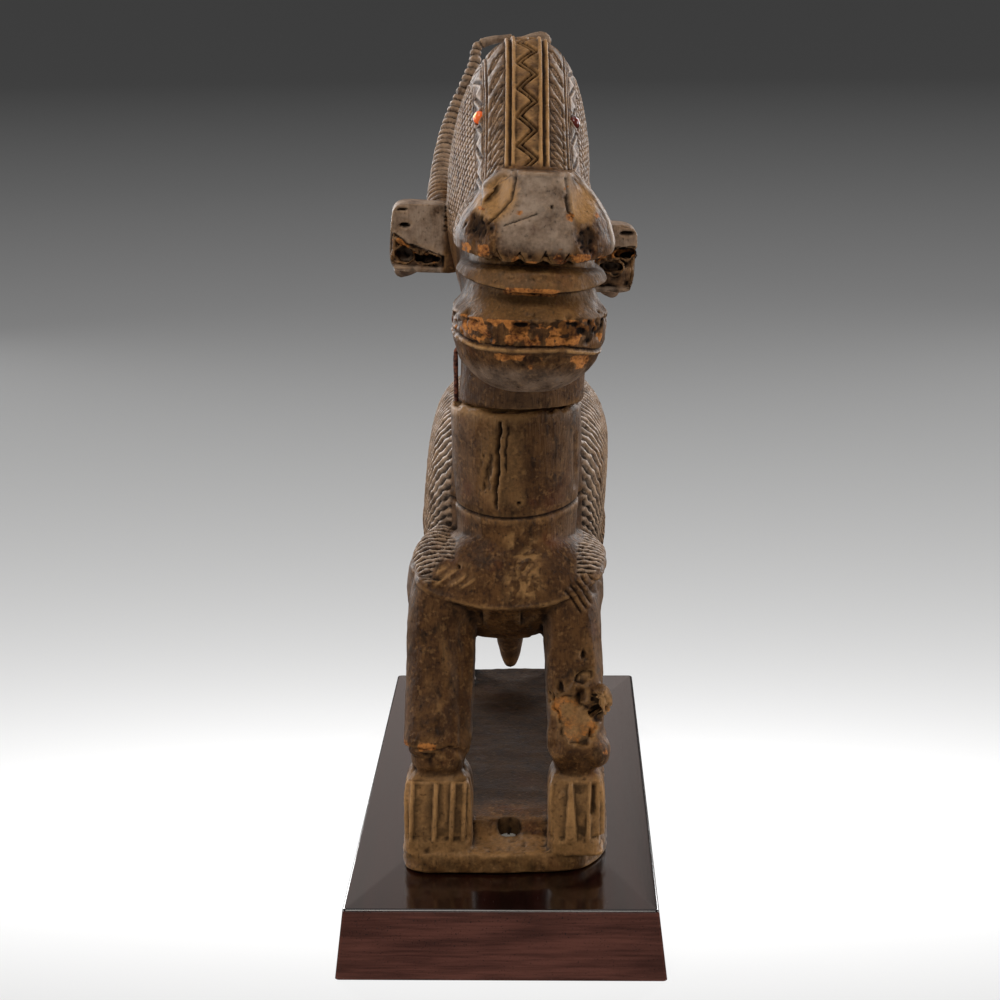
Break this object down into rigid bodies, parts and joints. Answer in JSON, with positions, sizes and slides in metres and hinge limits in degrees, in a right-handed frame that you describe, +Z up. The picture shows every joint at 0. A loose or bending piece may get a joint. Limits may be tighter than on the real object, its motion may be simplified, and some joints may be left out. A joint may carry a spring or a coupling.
{
  "type": "chiwara antelope headdress",
  "caption": "Carved wooden antelope headdress with a turned head, ringed horns and a toothed muzzle, standing on a platform that is screwed to a polished mahogany plinth.",
  "frame": {"origin": "centre of the plinth's underside", "axes": "+Z up; the antelope faces -Y, and +X is on the right of someone who looks at its face"},
  "size_m": [0.1372, 0.3092, 0.3796],
  "materials": {
    "polished_mahogany": "dark red-brown mahogany, gloss polish with open pores",
    "carved_wood": "dark brown patinated wood, semi-gloss from handling, worn to orange-tan wood on its edges",
    "eye_bead": "polished red seed or bead set in resin",
    "rusted_iron": "dark red rusted iron wire",
    "screw_steel": "bright slotted steel screw"
  },
  "bodies": {
    "root": {"plinth": "polished_mahogany", "body": "carved_wood", "head": "carved_wood", "eye_left": "eye_bead", "eye_right": "eye_bead", "neck_staple": "rusted_iron", "mounting_screw": "screw_steel"}
  },
  "joints": []
}
